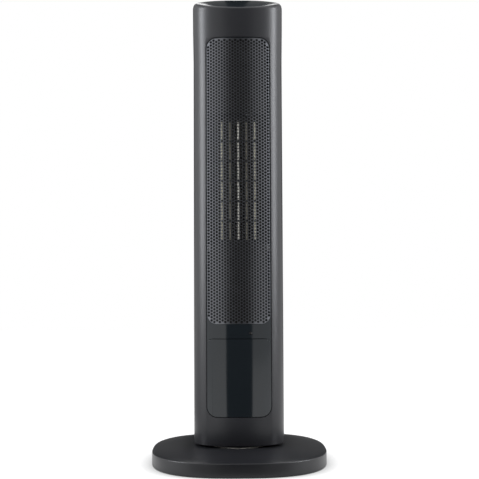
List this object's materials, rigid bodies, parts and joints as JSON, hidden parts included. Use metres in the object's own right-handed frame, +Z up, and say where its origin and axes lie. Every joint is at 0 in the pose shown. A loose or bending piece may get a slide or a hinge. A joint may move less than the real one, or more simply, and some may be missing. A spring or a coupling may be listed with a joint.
{
  "type": "tower heater",
  "caption": "Upright tower heater with a crowned top, a perforated front grille, a blower and heating element inside, turning on a round-cornered base.",
  "frame": {"origin": "on the floor at the middle of the base, under the swivel's axis", "axes": "+Z up, -Y towards the front grille, +X to the right of someone who faces the grille"},
  "size_m": [0.275, 0.2921, 0.7479],
  "materials": {
    "body_graphite": "satin moulded plastic, dark grey",
    "gloss_panel": "polished black",
    "grille_sheet": "satin dark grey paint",
    "receiver_lens": "polished dark red-black",
    "black_plastic": "matt black",
    "gloss_black_plastic": "gloss black",
    "wheel_plastic": "glass-filled plastic, dark grey",
    "nylon": "natural nylon",
    "ballast_iron": "bare plate",
    "steel": "bright steel",
    "rubber": "matt black rubber",
    "circuit_board": "green circuit board",
    "element_aluminium": "bright aluminium"
  },
  "bodies": {
    "base": {"base_cover": "body_graphite", "cord_inlet": "black_plastic", "base_plate": "black_plastic", "ballast_plate": "ballast_iron", "foot_front_left": "rubber", "foot_front_right": "rubber", "foot_rear_left": "rubber", "foot_rear_right": "rubber", "tip_switch": "black_plastic", "pivot_post": "nylon", "fixed_gear": "nylon", "glide_ring": "nylon", "pivot_nut": "steel"},
    "tip_plunger": {"tip_plunger": "nylon"},
    "tower": {"turntable": "black_plastic", "tower_plate": "black_plastic", "oscillation_motor": "steel", "front_housing": "body_graphite", "rear_housing": "body_graphite", "top_panel": "gloss_panel", "control_board": "circuit_board", "grille_frame": "gloss_panel", "receiver_lens": "receiver_lens", "lower_panel": "gloss_panel", "grille": "grille_sheet", "element_frame": "black_plastic", "thermal_cutout": "steel", "air_duct": "black_plastic", "motor_mount": "rubber", "blower_motor": "steel", "upper_bearing": "rubber", "main_board": "circuit_board", "display_board": "circuit_board", "grip_cup": "black_plastic", "switch_body": "black_plastic", "upper_baffle": "black_plastic", "lower_baffle": "black_plastic", "heater_tube_1": "element_aluminium", "heater_tube_2": "element_aluminium", "heater_tube_3": "element_aluminium", "heater_tube_4": "element_aluminium", "heater_tube_5": "element_aluminium", "fin_strip_1": "element_aluminium", "fin_strip_2": "element_aluminium", "fin_strip_3": "element_aluminium", "fin_strip_4": "element_aluminium", "fin_strip_5": "element_aluminium", "fin_strip_6": "element_aluminium", "clip_left": "steel", "clip_right": "steel"},
    "drive_pinion": {"drive_pinion": "nylon"},
    "blower_wheel": {"blower_wheel": "wheel_plastic"},
    "power_rocker": {"power_rocker": "gloss_black_plastic"},
    "intake_filter": {"intake_filter": "body_graphite"}
  },
  "joints": [
    {"name": "oscillation", "type": "hinge", "parent": "base", "child": "tower", "pos_m": [0, 0, 0.0273], "axis": [0, 0, 1], "range_deg": [-35, 35]},
    {"name": "pinion_spin", "type": "hinge", "parent": "tower", "child": "drive_pinion", "pos_m": [0, 0.03, 0.0166], "axis": [0, 0, 1], "range_deg": [-106, 106]},
    {"name": "blower_spin", "type": "hinge", "parent": "tower", "child": "blower_wheel", "pos_m": [0, 0.02, 0.34], "axis": [0, 0, 1], "continuous": true},
    {"name": "power_rocker_tilt", "type": "hinge", "parent": "tower", "child": "power_rocker", "pos_m": [0, 0.0622, 0.075], "axis": [1, 0, 0], "range_deg": [-14, 0]},
    {"name": "filter_pull", "type": "slide", "parent": "tower", "child": "intake_filter", "axis": [0, 1, 0], "range_m": [0, 0.03]},
    {"name": "tip_plunger_drop", "type": "slide", "parent": "base", "child": "tip_plunger", "axis": [0, 0, -1], "range_m": [0, 0.0035], "stiffness_N_per_m": 20, "springref_m": 0.005}
  ],
  "couplings": [
    {"joint": "pinion_spin", "follows": "oscillation", "ratio": 3}
  ]
}
